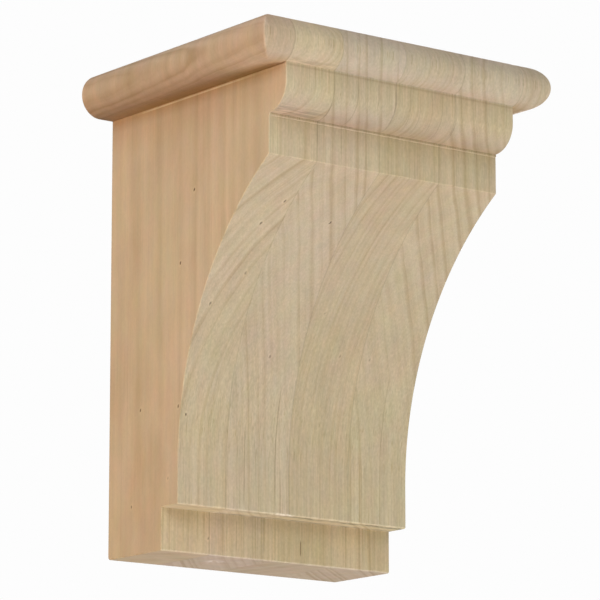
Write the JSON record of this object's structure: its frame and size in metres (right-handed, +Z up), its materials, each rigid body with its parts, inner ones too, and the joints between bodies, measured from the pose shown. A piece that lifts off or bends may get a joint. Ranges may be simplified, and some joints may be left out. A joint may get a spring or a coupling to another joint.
{
  "type": "wooden corbel bracket",
  "caption": "Solid wooden corbel with a bullnosed cap, an ovolo, a flat frieze, a long concave sweep and a stepped foot; fixes to a wall by its back and carries a shelf on its top.",
  "frame": {"origin": "middle of the flat back face, where the corbel meets the wall", "axes": "+Y into the wall, with the front facing -Y; +Z up; +X across, to the right of someone who faces the front"},
  "size_m": [0.152, 0.13, 0.208],
  "materials": {
    "sanded_maple": "bare, sanded pale hardwood, matt, with upright grain in glued staves"
  },
  "bodies": {
    "root": {"corbel": "sanded_maple"}
  },
  "joints": []
}
